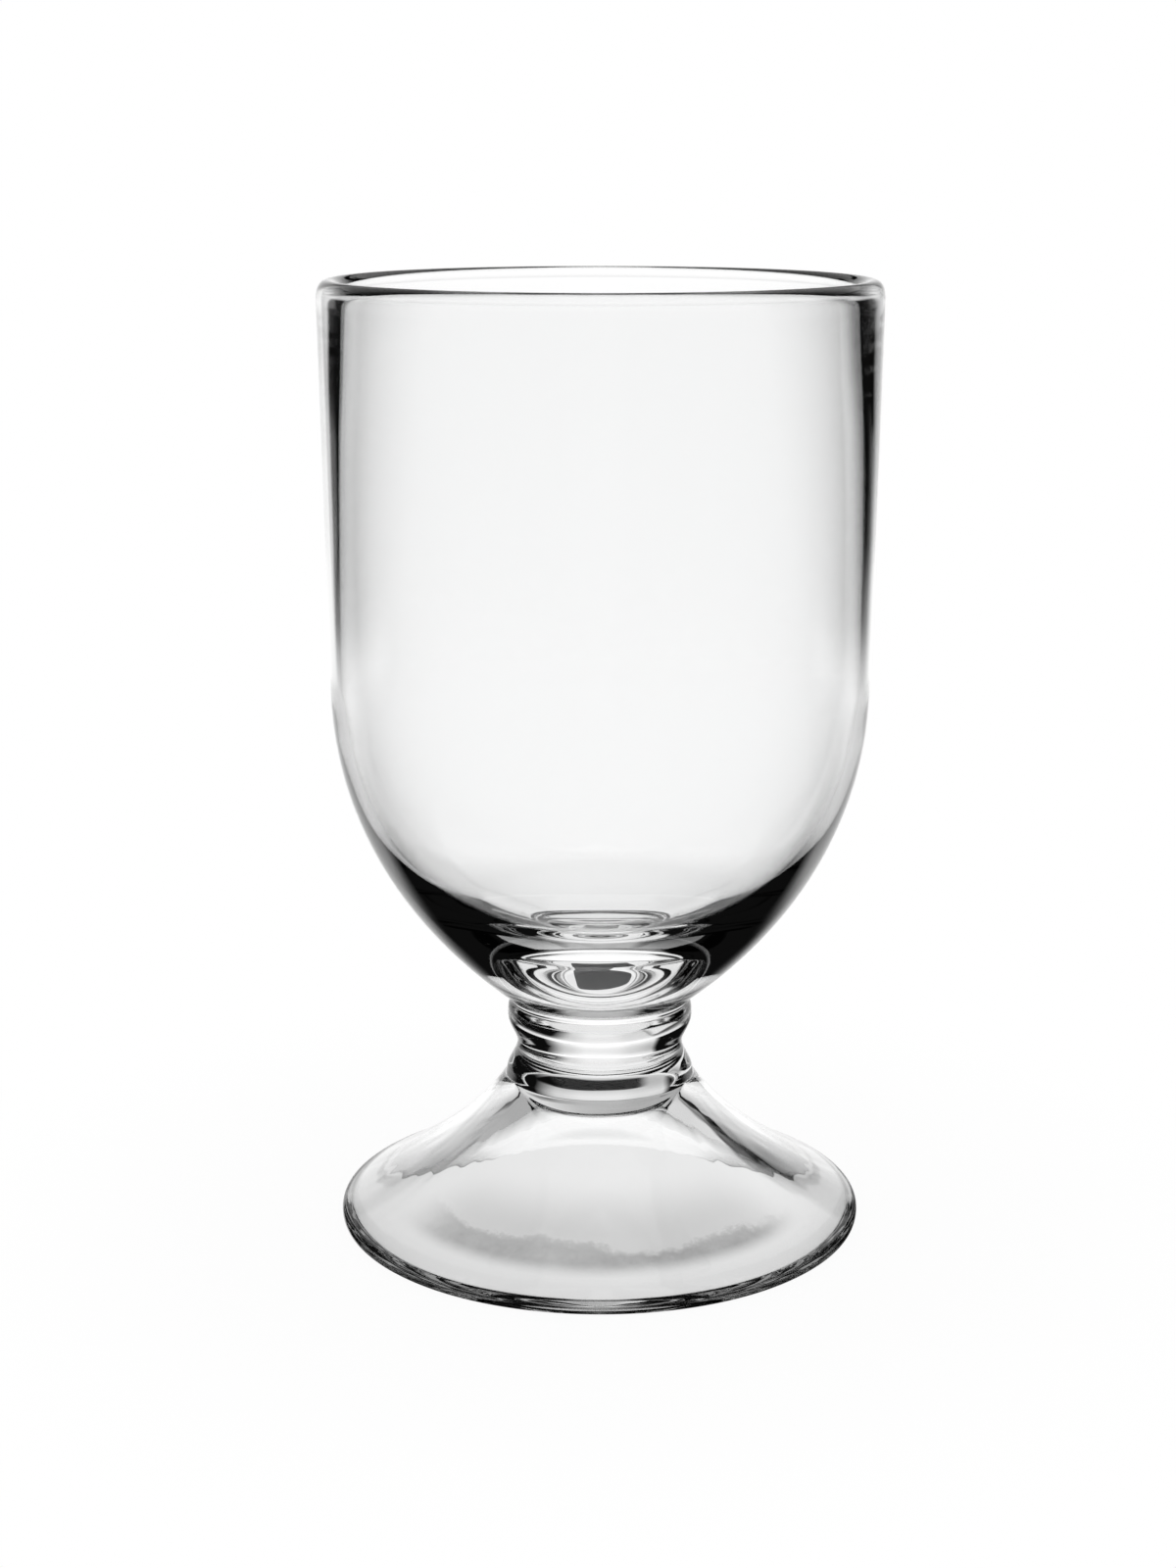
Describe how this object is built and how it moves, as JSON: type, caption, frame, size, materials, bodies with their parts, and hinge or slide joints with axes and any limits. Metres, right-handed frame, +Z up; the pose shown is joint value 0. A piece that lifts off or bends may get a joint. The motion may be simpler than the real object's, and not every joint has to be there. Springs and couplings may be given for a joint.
{
  "type": "footed drinking glass",
  "caption": "Clear footed glass with a deep U-shaped bowl on a short ringed stem and a flared hollow foot, for long drinks.",
  "frame": {"origin": "middle of the circle that the foot stands on, at table height", "axes": "+Z up along the axis of the glass"},
  "size_m": [0.0908, 0.0908, 0.159],
  "materials": {
    "clear_glass": "clear, fire-polished",
    "label": "matt blank film label"
  },
  "bodies": {
    "root": {"bowl": "clear_glass", "upper_stem_ring": "clear_glass", "lower_stem_ring": "clear_glass", "foot": "clear_glass", "base_label": "label"}
  },
  "joints": []
}
